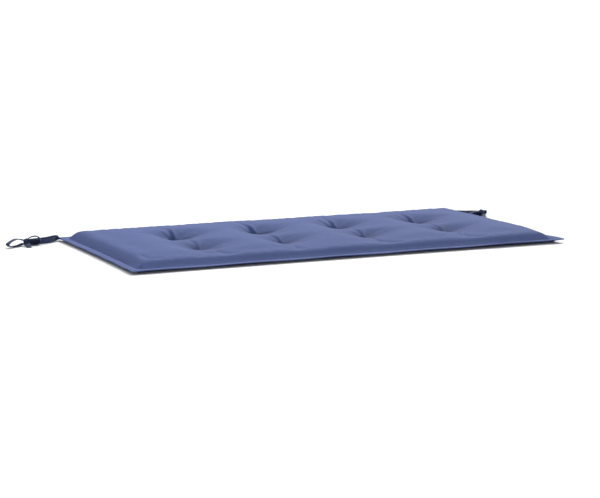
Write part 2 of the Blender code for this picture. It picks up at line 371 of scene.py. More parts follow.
def add_light(name, kind, power, way, place=(0, 0, 0), **settings):
    lamp = bpy.data.lights.new(name, kind)
    lamp.energy = power
    for key, value in settings.items():
        setattr(lamp, key, value)
    holder = add_object(name, lamp)
    holder.location = place
    holder.rotation_euler = Vector(way).to_track_quat("-Z", "Y").to_euler()


def light_studio():
    add_light("from_behind", "SUN", SUN_POWER, SUN_WAY, angle=math.radians(SUN_SPREAD))
    add_light("overhead", "AREA", LAMP_POWER, LAMP_AIM - LAMP_PLACE, LAMP_PLACE,
              shape="RECTANGLE", size=LAMP_SIZE[0], size_y=LAMP_SIZE[1])
    world = bpy.data.worlds.new("studio")
    world.use_nodes = True
    tree = world.node_tree
    sky = tree.nodes["Background"]
    way = add_node(tree, "ShaderNodeTexCoord").outputs["Generated"]
    rise = add_node(tree, "ShaderNodeSeparateXYZ", {0: way}).outputs[2]
    brighter_above = ramp(tree, rise, (0.15, 0.8), (0.22, 0.60))
    set_inputs(tree, sky, {"Color": SKY_COLOUR, "Strength": brighter_above})
    bpy.context.scene.world = world
    bpy.context.scene.view_settings.view_transform = "Standard"


def lay_floor():
    mesh = bpy.data.meshes.new("floor")
    sheet = bmesh.new()
    bmesh.ops.create_grid(sheet, x_segments=1, y_segments=1, size=FLOOR_REACH)
    bmesh.ops.translate(sheet, vec=(0, 0, -FLOOR_DROP), verts=sheet.verts)
    sheet.to_mesh(mesh)
    sheet.free()
    floor = add_object("floor", mesh)
    mesh.materials.append(floor_finish())


# ---- building blocks for finishes ----
def set_inputs(tree, node, inputs):
    """Each input linked where it is given another node's output, and set where it isn't."""
    for key, value in inputs.items():
        if isinstance(value, bpy.types.NodeSocket):
            tree.links.new(value, node.inputs[key])
        else:
            node.inputs[key].default_value = value


def add_node(tree, kind, inputs=None, **settings):
    made = tree.nodes.new(kind)
    for key, value in settings.items():
        setattr(made, key, value)
    set_inputs(tree, made, inputs or {})
    return made


def ramp(tree, value, start_and_end, low_and_high):
    """A smooth change from one value to another over a stretch."""
    (start, end), (low, high) = start_and_end, low_and_high
    inputs = {"Value": value, "From Min": start, "From Max": end, "To Min": low, "To Max": high}
    return add_node(tree, "ShaderNodeMapRange", inputs, interpolation_type="SMOOTHSTEP").outputs[0]


def work_out(tree, operation, *values):
    inputs = dict(enumerate(values))
    return add_node(tree, "ShaderNodeMath", inputs, operation=operation).outputs[0]


def blend_colours(tree, share, first, second):
    inputs = {"Factor": share, 6: first, 7: second}
    return add_node(tree, "ShaderNodeMix", inputs, data_type="RGBA").outputs[2]


def paler(colour, times):
    return tuple(min(1.0, channel * times) for channel in colour[:3]) + (1.0,)


def speckle(tree, where, scale, detail=2.0, stretch=(1, 1, 1)):
    """Noise from 0 to 1, drawn out along the axes with a small stretch factor."""
    stretched = add_node(tree, "ShaderNodeMapping", {"Vector": where, "Scale": stretch})
    inputs = {"Vector": stretched.outputs[0], "Scale": scale, "Detail": detail}
    return add_node(tree, "ShaderNodeTexNoise", inputs).outputs[0]


def new_group(name, inputs, outputs):
    group = bpy.data.node_groups.new(name, "ShaderNodeTree")
    for direction, sockets in (("INPUT", inputs), ("OUTPUT", outputs)):
        for socket, kind in sockets.items():
            group.interface.new_socket(socket, in_out=direction, socket_type="NodeSocket" + kind)
    given = group.nodes.new("NodeGroupInput").outputs
    result = group.nodes.new("NodeGroupOutput").inputs
    return group, given, result


def weave_group():
    """Over-and-under yarns, with thick and thin places along them."""
    group, given, result = new_group(
        "weave",
        {"Cloth": "Vector", "Pitch Across": "Float", "Pitch Along": "Float", "Slub": "Float"},
        {"Height": "Float", "Yarn": "Float"},
    )
    apart = add_node(group, "ShaderNodeSeparateXYZ", {0: given["Cloth"]}).outputs
    waves = []
    for axis, pitch in enumerate(("Pitch Across", "Pitch Along")):
        half_turns = work_out(group, "DIVIDE", math.pi, given[pitch])
        waves.append(work_out(group, "SINE", work_out(group, "MULTIPLY", apart[axis], half_turns)))
    bead = work_out(group, "MULTIPLY_ADD", work_out(group, "MULTIPLY", *waves), 0.5, 0.5)
    lengthwise = speckle(group, given["Cloth"], 900.0, stretch=(0.03, 1, 1))
    crosswise = speckle(group, given["Cloth"], 900.0, stretch=(1, 0.05, 1))
    slub = work_out(group, "ADD", lengthwise, crosswise)
    slub = work_out(group, "MULTIPLY", work_out(group, "SUBTRACT", slub, 1.0), given["Slub"])
    group.links.new(work_out(group, "ADD", bead, slub), result["Height"])
    group.links.new(work_out(group, "MULTIPLY_ADD", slub, 1.0, 0.5), result["Yarn"])
    return group


def wear_and_shade_group():
    """Where cloth has faded on its edges, and how much shade is painted in its hollows and under
    its rim.
    """
    group, given, result = new_group(
        "wear_and_shade",
        {"Place": "Vector", "Edge": "Float", "Hollow": "Float", "Patchiness": "Float"},
        {"Faded": "Float", "Painted Shade": "Float"},
    )
    patches = speckle(group, given["Place"], 28.0, detail=4.0)
    patches = work_out(group, "MULTIPLY_ADD", patches, given["Patchiness"], 0.5)
    # Faded edges are wear; the second output is painted shade.
    for where, look in (("Edge", "Faded"), ("Hollow", "Painted Shade")):
        group.links.new(work_out(group, "MULTIPLY", given[where], patches), result[look])
    return group


def crumple_group():
    """Soft small creases, as cloth has after packing."""
    group, given, result = new_group(
        "crumple",
        {"Place": "Vector", "Scale": "Float"},
        {"Height": "Float"},
    )
    wide = speckle(group, given["Place"], given["Scale"], detail=3.0, stretch=(0.35, 1, 1))
    fine = speckle(group, given["Place"], given["Scale"], detail=2.0, stretch=(3.0, 5.0, 3.0))
    group.links.new(work_out(group, "MULTIPLY_ADD", fine, 0.25, wide), result["Height"])
    return group


def new_material(name):
    """A material, its node tree and its shader."""
    material = bpy.data.materials.new(name)
    material.use_nodes = True
    return material, material.node_tree, material.node_tree.nodes["Principled BSDF"]


def cloth_material(name, groups, colours, pitches, slub, roughness, sheen, bump):
    """Woven cloth in two tones of one colour, read from the piece's own flat pattern."""
    material, tree, shader = new_material(name)
    pattern = add_node(tree, "ShaderNodeUVMap", uv_map="pattern").outputs[0]
    place = add_node(tree, "ShaderNodeTexCoord").outputs["Object"]
    edge = add_node(tree, "ShaderNodeAttribute", attribute_name="edge").outputs["Fac"]
    hollow = add_node(tree, "ShaderNodeAttribute", attribute_name="hollow").outputs["Fac"]
    inputs = {"Cloth": pattern, "Slub": slub}
    inputs["Pitch Across"], inputs["Pitch Along"] = pitches
    woven = add_node(tree, "ShaderNodeGroup", inputs, node_tree=groups["weave"])
    inputs = {"Place": place, "Edge": edge, "Hollow": hollow, "Patchiness": 0.9}
    faded_and_shaded = add_node(tree, "ShaderNodeGroup", inputs, node_tree=groups["wear_and_shade"])
    inputs = {"Place": place, "Scale": 36.0}
    crumpled = add_node(tree, "ShaderNodeGroup", inputs, node_tree=groups["crumple"])
    dark, pale, faded, shade = colours
    tone = blend_colours(tree, woven.outputs["Yarn"], dark, pale)
    tone = blend_colours(tree, faded_and_shaded.outputs["Faded"], tone, faded)
    # Painted shade: the cloth turns toward its shade colour in the tufts' hollows and on its
    # underside near the rim.
    tone = blend_colours(tree, faded_and_shaded.outputs["Painted Shade"], tone, shade)
    inputs = {"Height": crumpled.outputs["Height"], "Strength": bump, "Distance": 0.0016}
    soft = add_node(tree, "ShaderNodeBump", inputs).outputs[0]
    inputs = {"Height": woven.outputs["Height"], "Strength": 0.5, "Distance": 0.00025,
              "Normal": soft}
    fine = add_node(tree, "ShaderNodeBump", inputs).outputs[0]
    set_inputs(tree, shader, {
        "Base Color": tone,
        "Roughness": roughness,
        "Sheen Weight": sheen,
        "Sheen Roughness": 0.5,
        "Specular IOR Level": 0.15,
        "Normal": fine,
    })
    return material


def thread_material(name, colour):
    material, tree, shader = new_material(name)
    place = add_node(tree, "ShaderNodeTexCoord").outputs["Object"]
    tone = blend_colours(tree, speckle(tree, place, 2600.0), colour, paler(colour, 1.5))
    set_inputs(tree, shader, {"Base Color": tone, "Roughness": 0.6, "Sheen Weight": 0.2})
    return material


def floor_finish():
    """A plain pale floor that glows, faintly near the cushion and more toward the far distance:
    painted light that makes the far floor show white.
    """
    material, tree, shader = new_material("floor")
    place = add_node(tree, "ShaderNodeTexCoord").outputs["Object"]
    tone = blend_colours(tree, speckle(tree, place, 3.0), FLOOR_WHITE, paler(FLOOR_WHITE, 1.03))
    away = add_node(tree, "ShaderNodeVectorMath", {0: place}, operation="LENGTH").outputs["Value"]
    set_inputs(tree, shader, {
        "Base Color": tone,
        "Roughness": 0.85,
        "Specular IOR Level": 0.1,
        # Painted light: the floor glows, more with distance from the cushion.
        "Emission Color": (1.0, 1.0, 1.0, 1.0),
        "Emission Strength": ramp(tree, away, (0.7, 2.5), (0.03, 0.35)),
    })
    return material


# ---- heights of the cushion, over whole grids of points ----
def soften(share):
    share = np.clip(share, 0.0, 1.0)
    return share * share * (3.0 - 2.0 * share)


def along(section, inset, blur=0.0006):
    """Height at an inset, read from a section's table with its corners rounded a little."""
    marks, heights = zip(*section)
    return sum(np.interp(inset + shift, marks, heights) for shift in (-blur, 0.0, blur)) / 3


def insets(x, y):
    return LENGTH / 2 - np.abs(x), DEPTH / 2 - np.abs(y)


def edge_inset(x, y):
    """Distance in from the rim's edge, with the filled corner rounded in plan."""
    from_end, from_side = insets(x, y)
    nearest = np.minimum(from_end, from_side)
    corner = CORNER_ROUND - np.hypot(CORNER_ROUND - from_end, CORNER_ROUND - from_side)
    return np.where(np.maximum(from_end, from_side) >= CORNER_ROUND, nearest, corner)


def rim_rise(x, y):
    """How far the loose rim stands above its usual height."""
    nearest = np.minimum(*insets(x, y))
    looseness = np.clip(1.0 - nearest / RIM_WIDTH, 0.0, 1.0)
    wave = RIM_WAVE * np.sin(2 * math.pi * RIM_WAVES * (x / LENGTH + y / DEPTH))
    to_the_right = np.clip(2 * x / LENGTH - 0.3, 0.0, None) / 0.7
    to_the_front = 0.5 - y / DEPTH
    return looseness * (wave + CORNER_LIFT * to_the_right * to_the_front)


def crown_rise(x, y):
    rise = CROWN_HEIGHT - EDGE_HEIGHT
    for inset in insets(x, y):
        rise = rise * (1.0 - np.exp(-np.clip(inset - CROWN_START, 0.0, None) / CROWN_SPREAD))
    return rise


def plump_rise(x, y):
    """How far the fuller right end stands up, and how far the lower front lies down."""
    filled = 1.0 - np.exp(-np.clip(edge_inset(x, y) - RIM_WIDTH, 0.0, None) / PLUMP_STEP)
    fuller = PLUMP_RIGHT * soften((2 * x / LENGTH - 0.5) / 0.4)
    return filled * (fuller - FRONT_LOW * soften((-2 * y / DEPTH - 0.55) / 0.4))


def crease_height(out_x, out_y, crease, turn):
    """Trough of one crease and the ridge beside it, at offsets from the tuft's stitch."""
    way, reach, left, right, depth, ridge = crease
    angle = math.radians(way + turn)
    forward = out_x * math.cos(angle) + out_y * math.sin(angle)
    across = out_y * math.cos(angle) - out_x * math.sin(angle)
    run = forward / reach
    across = across + 0.05 * reach * np.sin(3.0 * run)
    fading = soften(run / 0.14) * (1.0 - soften(run))
    opening = 0.6 + 0.9 * np.clip(run, 0.0, 1.0)
    width = np.where(across > 0.0, left, right) * opening
    trough = np.exp(-((across / width) ** 2))
    beside = np.exp(-(((across + 2.0 * right * opening) / (1.1 * right * opening)) ** 2))
    return fading * (ridge * beside - depth * trough)


def tuft_height(x, y):
    """How far the tufts move the upper side, mostly down."""
    total = np.zeros_like(x)
    for column, row, pull, turn, strength in TUFTS:
        out_x, out_y = x - TUFT_COLUMNS[column], y - TUFT_ROWS[row]
        away = np.hypot(out_x, out_y)
        lean = math.radians(HOLLOW_TURN + turn)
        side = out_x * math.cos(lean) + out_y * math.sin(lean)
        ahead = out_y * math.cos(lean) - out_x * math.sin(lean)
        side = side / np.where(side < 0, HOLLOW_LEFT, HOLLOW_RIGHT)
        ahead = ahead / np.where(ahead < 0, HOLLOW_FRONT[row], HOLLOW_BACK)
        total -= pull * HOLLOW_SHARE * np.exp(-(side ** 2) - ahead ** 2)
        total -= pull * PINCH_SHARE * np.exp(-away / PINCH_RADIUS)
        for crease in CREASES:
            total += strength * crease_height(out_x, out_y, crease, turn)
    return total


def lumps(x, y):
    """Unevenness of the filling, fading out toward the sewn edge."""
    uneven = np.zeros_like(x)
    for height, close_x, close_y, layer in LUMPS:
        bumps = [noise.noise((a * close_x, b * close_y, layer)) for a, b in zip(x.flat, y.flat)]
        uneven += height * np.reshape(bumps, x.shape)
    return uneven * soften((np.minimum(*insets(x, y)) - LUMPS_START) / LUMPS_FADE)


def puckers(x, y):
    """Short gathers that the seam pulls into the cloth on both of its sides."""
    from_end, from_side = insets(x, y)
    run = np.where(from_end < from_side, y, x)
    beat = np.reshape([noise.noise((a * PUCKER_CLOSE, 1.7, 0.4)) for a in run.flat], x.shape)
    past_seam = edge_inset(x, y) - RIM_WIDTH
    near = np.zeros_like(x)
    for side, share, reach in PUCKER_SIDES:
        away = np.clip(side * past_seam, 0.0, None)
        near += share * np.exp(-away / reach) * soften(away / PUCKER_START)
    return PUCKER_HEIGHT * beat * near


def edge_roll(x, y):
    """A soft channel inside the filled edge, which leaves the edge standing as a roll."""
    from_end, from_side = insets(x, y)
    channel = np.zeros_like(x)
    for inset, beside in ((from_side, from_end), (from_end, from_side)):
        dip = np.exp(-(((inset - ROLL_INSET) / ROLL_WIDTH) ** 2))
        channel = np.maximum(channel, dip * soften(beside / ROLL_FADE - ROLL_FREE))
    uneven = 0.75 + 0.25 * np.sin(2 * math.pi * (x / 0.31 + y / 0.17))
    return -ROLL_DEPTH * uneven * channel


def upper_height(x, y):
    height = along(TOP_SECTION, edge_inset(x, y)) + rim_rise(x, y)
    height = height + crown_rise(x, y) + plump_rise(x, y)
    return height + edge_roll(x, y) + tuft_height(x, y)


def from_tufts(x, y):
    """Distance from each tuft in turn."""
    for column in TUFT_COLUMNS:
        for row in TUFT_ROWS:
            yield np.hypot(x - column, y - row)


def under_height(x, y):
    """The underside, flat where it lies, with a shallow dimple at each tuft."""
    total = np.zeros_like(x)
    for away in from_tufts(x, y):
        pinch = UNDER_PINCH * np.exp(-away / UNDER_PINCH_REACH)
        total += pinch + UNDER_DIP * np.exp(-((away / UNDER_DIP_REACH) ** 2))
    return total * soften((np.minimum(*insets(x, y)) - UNDER_START) / UNDER_FADE)


def drawn_in(x, y):
    """The plan of the cushion, with its sides pulled in and its rim's corners rounded."""
    corner_x, corner_y = LENGTH / 2 - RIM_CORNER_ROUND, DEPTH / 2 - RIM_CORNER_ROUND
    past_x = np.clip((np.abs(x) - corner_x) / RIM_CORNER_ROUND, 0.0, 1.0)
    past_y = np.clip((np.abs(y) - corner_y) / RIM_CORNER_ROUND, 0.0, 1.0)
    back_x = past_x * (1.0 - np.sqrt(1.0 - past_y ** 2 / 2)) * RIM_CORNER_ROUND
    back_y = past_y * (1.0 - np.sqrt(1.0 - past_x ** 2 / 2)) * RIM_CORNER_ROUND
    x, y = x - np.sign(x) * back_x, y - np.sign(y) * back_y
    bow_x = 1.0 - (2 * x / LENGTH) ** 2
    bow_y = 1.0 - (2 * y / DEPTH) ** 2
    pull_x = 1.0 - 2 * DRAWN_IN_END / LENGTH * bow_y
    pull_y = 1.0 - 2 * DRAWN_IN_LONG / DEPTH * bow_x
    return x * pull_x, y * pull_y


# ---- the cover ----
def cover_lines(size, stations, count):
    """Lines across one side of the cover, closer together at the rims and the tufts."""
    fine = np.linspace(-size / 2, size / 2, 4001)
    inset = size / 2 - np.abs(fine)
    crowd = 1.0 + RIM_CROWD * np.exp(-((inset / RIM_CROWD_REACH) ** 4))
    for station in stations:
        crowd = crowd + TUFT_CROWD * np.exp(-(((fine - station) / TUFT_CROWD_REACH) ** 2))
    share = np.concatenate(([0.0], np.cumsum((crowd[1:] + crowd[:-1]) / 2)))
    return np.interp(np.linspace(0.0, share[-1], count), share, fine)


def number_grid(rows, columns):
    """The number of each point of a grid, and the grid's quads."""
    index = np.arange(rows * columns).reshape(rows, columns)
    corners = (index[:-1, :-1], index[:-1, 1:], index[1:, 1:], index[1:, :-1])
    return index, np.stack([corner.ravel() for corner in corners], axis=1).tolist()


def settle_cover():
    """How far the upper panel moves when the filling presses on it, on a coarse grid."""
    lines_x = np.linspace(-LENGTH / 2, LENGTH / 2, SETTLE_GRID[0])
    lines_y = np.linspace(-DEPTH / 2, DEPTH / 2, SETTLE_GRID[1])
    x, y = np.meshgrid(lines_x, lines_y)
    before = np.stack((x, y, upper_height(x, y) + lumps(x, y)), axis=2)
    _, faces = number_grid(*x.shape)
    mesh = bpy.data.meshes.new("panel")
    mesh.from_pydata(before.reshape(-1, 3).tolist(), [], faces)
    panel = add_object("panel", mesh)
    held = np.minimum(*insets(x, y)) < HELD_INSET
    for away in from_tufts(x, y):
        held |= away < HELD_ROUND_TUFT
    sewn = panel.vertex_groups.new(name="sewn")
    sewn.add([int(point) for point in np.flatnonzero(held.ravel())], 1.0, "REPLACE")
    cloth = panel.modifiers.new("cloth", "CLOTH")
    settings = cloth.settings
    settings.vertex_group_mass = "sewn"
    settings.quality = 6
    settings.mass = 0.15
    settings.tension_stiffness = settings.compression_stiffness = 25.0
    settings.shear_stiffness = 10.0
    settings.bending_stiffness = 0.8
    settings.shrink_min = -0.012
    settings.use_pressure = True
    settings.uniform_pressure_force = 2.5
    settings.effector_weights.gravity = 0.0
    cloth.collision_settings.use_collision = False
    scene = bpy.context.scene
    for step in range(1, SETTLE_FRAMES + 1):
        scene.frame_set(step)
    settled = panel.evaluated_get(bpy.context.evaluated_depsgraph_get())
    after = np.empty(before.size)
    settled.data.vertices.foreach_get("co", after)
    scene.frame_set(1)
    bpy.data.objects.remove(panel)
    moved = after.reshape(before.shape) - before
    far = np.linalg.norm(moved, axis=2, keepdims=True)
    moved *= SETTLE_LIMIT * np.tanh(far / SETTLE_LIMIT) / np.maximum(far, 1e-9)
    return lines_x, lines_y, moved


def spread_between(lines_x, lines_y, values, x, y):
    """Values on a coarse grid, read smoothly at the points of a finer one."""
    place_x = np.clip((x - lines_x[0]) / (lines_x[1] - lines_x[0]), 0, len(lines_x) - 1.001)
    place_y = np.clip((y - lines_y[0]) / (lines_y[1] - lines_y[0]), 0, len(lines_y) - 1.001)
    column, row = place_x.astype(int), place_y.astype(int)
    share_x = soften(place_x - column)[..., None]
    share_y = soften(place_y - row)[..., None]
    front = values[row, column] * (1 - share_x) + values[row, column + 1] * share_x
    back = values[row + 1, column] * (1 - share_x) + values[row + 1, column + 1] * share_x
    return front * (1 - share_y) + back * share_y


def arc_from_edge(inset):
    """Length of cloth between the rim's edge and an inset, over the wall."""
    marks = np.linspace(0.0, WALL_SPAN, 401)
    heights = along(TOP_SECTION, marks)
    lengths = np.concatenate(([0.0], np.cumsum(np.hypot(np.diff(marks), np.diff(heights)))))
    return np.where(inset < WALL_SPAN, np.interp(inset, marks, lengths),
                    inset - WALL_SPAN + lengths[-1])


def pattern_place(across, size):
    """Where a point across one side of the cover lies on the cover's flat pattern."""
    wall = arc_from_edge(np.float64(WALL_SPAN))
    from_edge = arc_from_edge(size / 2 - np.abs(across))
    return np.sign(across) * (size / 2 + wall - WALL_SPAN - from_edge)


def moved_in(x, y, inset):
    """Places of the rim's edge, or inside it, drawn in by an inset."""
    return x * (1 - 2 * inset / LENGTH), y * (1 - 2 * inset / DEPTH)


def under_faces(rows, columns, under):
    """The underside's faces, of which the outer ones take in every point of the rim."""
    faces = []
    steps = range(UNDER_SKIP)
    for row in range(0, rows - 1, UNDER_SKIP):
        for column in range(0, columns - 1, UNDER_SKIP):
            last_row, last_column = row + UNDER_SKIP, column + UNDER_SKIP
            walk = [(row + step, column) for step in steps]
            walk += [(last_row, column + step) for step in steps]
            walk += [(last_row - step, last_column) for step in steps]
            walk += [(row, last_column - step) for step in steps]
            faces.append([under[spot] for spot in walk if spot in under])
    return faces


def make_cover():
    """The filled cushion: upper side, turned rim edge, and underside, in one closed mesh."""
    x, y = np.meshgrid(cover_lines(LENGTH, TUFT_COLUMNS, COVER_LINES_X),
                       cover_lines(DEPTH, TUFT_ROWS, COVER_LINES_Y))
    height = upper_height(x, y) + lumps(x, y) + puckers(x, y)
    upper = np.stack((*drawn_in(x, y), height), axis=2)
    upper += spread_between(*settle_cover(), x, y)
    rows, columns = x.shape
    index, faces = number_grid(rows, columns)
    points = [upper.reshape(-1, 3)]
    flat = [np.stack((x.ravel(), y.ravel()), axis=1)]
    total = rows * columns

    ring = np.concatenate((index[0, :-1], index[:-1, -1], index[-1, :0:-1], index[:0:-1, 0]))
    above = ring
    for inset, high in RIM_EDGE:
        ring_x, ring_y = moved_in(x.ravel()[ring], y.ravel()[ring], inset)
        raised = high + rim_rise(ring_x, ring_y) * (high > 0)
        points.append(np.stack((*drawn_in(ring_x, ring_y), raised), axis=1))
        flat.append(np.stack((ring_x, ring_y), axis=1))
        below = total + np.arange(len(ring))
        total += len(ring)
        quads = (above, below, np.roll(below, -1), np.roll(above, -1))
        faces += np.stack(quads, axis=1).tolist()
        above = below

    inner = slice(UNDER_SKIP, -1, UNDER_SKIP)
    under = {divmod(int(spot), columns): int(point) for spot, point in zip(ring, above)}
    for point, spot in enumerate(index[inner, inner].ravel(), total):
        under[divmod(int(spot), columns)] = point
    inner_x, inner_y = moved_in(x[inner, inner].ravel(), y[inner, inner].ravel(), RIM_EDGE[-1][0])
    lying = under_height(inner_x, inner_y)
    points.append(np.stack((*drawn_in(inner_x, inner_y), lying), axis=1))
    flat.append(np.stack((inner_x, inner_y), axis=1))
    faces += under_faces(rows, columns, under)

    points, flat = np.concatenate(points), np.concatenate(flat)
    mesh = bpy.data.meshes.new("cover")
    mesh.from_pydata(points.tolist(), [], faces)
    label_cover(mesh, flat, np.arange(len(points)) < rows * columns)
    mesh.shade_smooth()
    return add_object("cover", mesh)


def label_cover(mesh, flat, on_top):
    """The cover's flat pattern as its UV map, and for each point how faded it is and how much
    shade is painted on it.
    """
    x, y = flat.T
    corner = np.empty(len(mesh.loops), dtype=np.int32)
    mesh.loops.foreach_get("vertex_index", corner)
    laid = np.stack((pattern_place(x, LENGTH)[corner], pattern_place(y, DEPTH)[corner]), axis=1)
    pattern = mesh.uv_layers.new(name="pattern")
    pattern.data.foreach_set("uv", laid.astype(np.float32).ravel())
    nearest = np.minimum(*insets(x, y))
    roll = np.exp(-(((nearest - FADED_ROLL_INSET) / FADED_ROLL_REACH) ** 2))
    edge = np.exp(-((nearest / FADED_EDGE) ** 2)) + FADED_ROLL * roll
    # Painted shade in the tufts' hollows, darker where they are deeper.
    deep = np.clip(-tuft_height(x, y) / HOLLOW_FULL, 0.0, HOLLOW_MOST) ** 2
    # Painted shade on the underside near the rim, where the gap under the rim lies in shade.
    shaded = UNDER_SHADE * np.exp(-((nearest / UNDER_SHADE_REACH) ** 4))
    shaded = shaded * (nearest > RIM_EDGE[3][0] * 1.5)
    for label, values in (("edge", edge), ("hollow", np.where(on_top, deep, shaded))):
        layer = mesh.attributes.new(label, "FLOAT", "POINT")
        layer.data.foreach_set("value", values.astype(np.float32))


# ---- making the ties ----
def smooth_points(marks, step):
    """Points about a step apart on a smooth curve that passes through the marks."""
    lead_in, lead_out = 2 * marks[0] - marks[1], 2 * marks[-1] - marks[-2]
    chain = [lead_in, *marks, lead_out]
    points = []
    for before, start, stop, after in zip(chain, chain[1:], chain[2:], chain[3:]):
        steps = max(1, round((stop - start).length / step))
        for count in range(steps):
            t = count / steps
            bend = (2 * before - 5 * start + 4 * stop - after) * t ** 2
            turn = (3 * start - before - 3 * stop + after) * t ** 3
            points.append((2 * start + (stop - before) * t + bend + turn) / 2)
    return points + [marks[-1]]


def tape_section():
    """Outline of the tape's cut end: across and through it, with round selvedges."""
    half_width, half_thick = TAPE_WIDTH / 2, TAPE_THICK / 2
    outline = []
    for side, faces in ((1, (-90, -45, 0, 45, 90)), (-1, (90, 135, 180, 225, 270))):
        for angle in faces:
            round_x = half_thick * math.cos(math.radians(angle))
            round_z = half_thick * math.sin(math.radians(angle))
            across = side * (half_width - half_thick) + round_x
            outline.append((across, SELVEDGE_SWELL * round_z))
        for share in (0.5, 0.0, -0.5):
            outline.append((side * share * half_width, side * half_thick * FACE_SINK))
    return outline


def run_lengths(points):
    lengths = [0.0]
    for start, stop in zip(points, points[1:]):
        lengths.append(lengths[-1] + (stop - start).length)
    return lengths


def join_rings(body, pattern, rings, runs, outline):
    """Quads from each ring to the next, laid on the tape's pattern by how far they run."""
    for ring, after, run, next_run in zip(rings, rings[1:], runs, runs[1:]):
        for spot in range(len(ring)):
            following = (spot + 1) % len(ring)
            face = body.faces.new((ring[spot], ring[following], after[following], after[spot]))
            laid = ((run, spot), (run, following), (next_run, following), (next_run, spot))
            for corner, (distance, where) in zip(face.loops, laid):
                corner[pattern].uv = (distance, outline[where][0])


def sweep_tape(name, points, turned, sewn_in, material):
    """A strip of tape along its points, turned level where it comes out of the rim."""
    outline = tape_section()
    lengths = run_lengths(points)
    level = UP.cross((points[1] - points[0]).normalized()).normalized()
    body = bmesh.new()
    pattern = body.loops.layers.uv.new("pattern")
    rings = []
    for place, point in enumerate(points):
        ahead, behind = points[min(place + 1, len(points) - 1)], points[max(place - 1, 0)]
        way = (ahead - behind).normalized()
        wide = level
        if turned == ON_EDGE:
            share = soften(lengths[place] / TAPE_TURN_LENGTH) if sewn_in else 1.0
            sideways = UP.cross(way).normalized()
            wide = sideways * math.cos(share * math.pi / 2) + UP * math.sin(share * math.pi / 2)
        wobble = TAPE_TWIST * noise.noise(
            (lengths[place] * TAPE_TWIST_CLOSE, points[0].x * 40.0, 2.0))
        wide = (wide - way * wide.dot(way)).normalized()
        thick = way.cross(wide)
        wide, thick = (wide * math.cos(wobble) + thick * math.sin(wobble),
                       thick * math.cos(wobble) - wide * math.sin(wobble))
        cup = TAPE_CUP * math.sin(lengths[place] * TAPE_CUP_CLOSE + points[0].y * 90.0)
        ring = []
        for across, through in outline:
            lift = through + cup * (1.0 - (2 * across / TAPE_WIDTH) ** 2)
            ring.append(body.verts.new(point + wide * across + thick * lift))
        rings.append(ring)
    join_rings(body, pattern, rings, lengths, outline)
    body.faces.new(reversed(rings[0]))
    body.faces.new(rings[-1])
    return finish_mesh(name, body, material)


def finish_mesh(name, body, material):
    bmesh.ops.recalc_face_normals(body, faces=body.faces)
    mesh = bpy.data.meshes.new(name)
    body.to_mesh(mesh)
    body.free()
    mesh.shade_smooth()
    mesh.set_sharp_from_angle(angle=math.radians(60))
    mesh.materials.append(material)
    return add_object(name, mesh)


def tie_point(place, mirror):
    out, back, up = (distance * MM for distance in place)
    return Vector((mirror * (LENGTH / 2 + out), DEPTH / 2 + back, up))


def make_knot(name, centre, mirror, material):
    """Two turns of tape drawn tight round the strands, with their edges pulled in."""
    body = bmesh.new()
    pattern = body.loops.layers.uv.new("pattern")
    outline = tape_section()
    runs = [step * KNOT_STEP_LENGTH for step in range(KNOT_STEPS + 1)]
    for turn_z, turn_y, half_high, half_deep, width, shift in KNOT_BANDS:
        tilt = Euler((0, math.radians(turn_y * mirror), math.radians(turn_z * mirror)))
        rings = []
        for step in range(KNOT_STEPS):
            angle = 2 * math.pi * step / KNOT_STEPS
            outward = Vector((0, math.cos(angle), math.sin(angle)))
            squeeze = 1.0 + KNOT_SQUEEZE * math.sin(3 * angle + turn_z)
            ring = []
            for across, through in outline:
                share = 2 * across / TAPE_WIDTH
                round_off = 1.0 - KNOT_ROUNDING * share ** 2
                deep = (half_deep * squeeze + through) * round_off
                high = (half_high * squeeze + through) * round_off
                spot = Vector((share * width / 2 + shift, outward.y * deep, outward.z * high))
                spot.rotate(tilt)
                ring.append(body.verts.new(centre + spot))
            rings.append(ring)
        join_rings(body, pattern, [*rings, rings[0]], runs, outline)
    return finish_mesh(name, body, material)


def make_tie(side, mirror, knot_place, routes, material):
    knot = make_knot(f"tie_{side}_knot_wrap", tie_point(knot_place, mirror), mirror, material)
    hand_on(knot, f"tie_{side}_knot")
    strips = {}
    for piece, (turned, route) in routes.items():
        marks = [tie_point(place, mirror) for place in route]
        points = smooth_points(marks, TAPE_STEP)
        sewn_in = piece.endswith("strand")
        strip = sweep_tape(f"tie_{side}_{piece}_tape", points, turned, sewn_in, material)
        hand_on(strip, f"tie_{side}_{piece}")
        strips[piece] = (strip, points)
    for piece, far_end in (("front_strand", "knot"), ("back_strand", "knot"),
                           ("long_loop", "object"), ("short_loop", "object")):
        strip, points = strips[piece]


def hand_on(piece, node):
    """The piece stands for a node of the model, and moves with it."""
    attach(piece, "root")
    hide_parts(node)


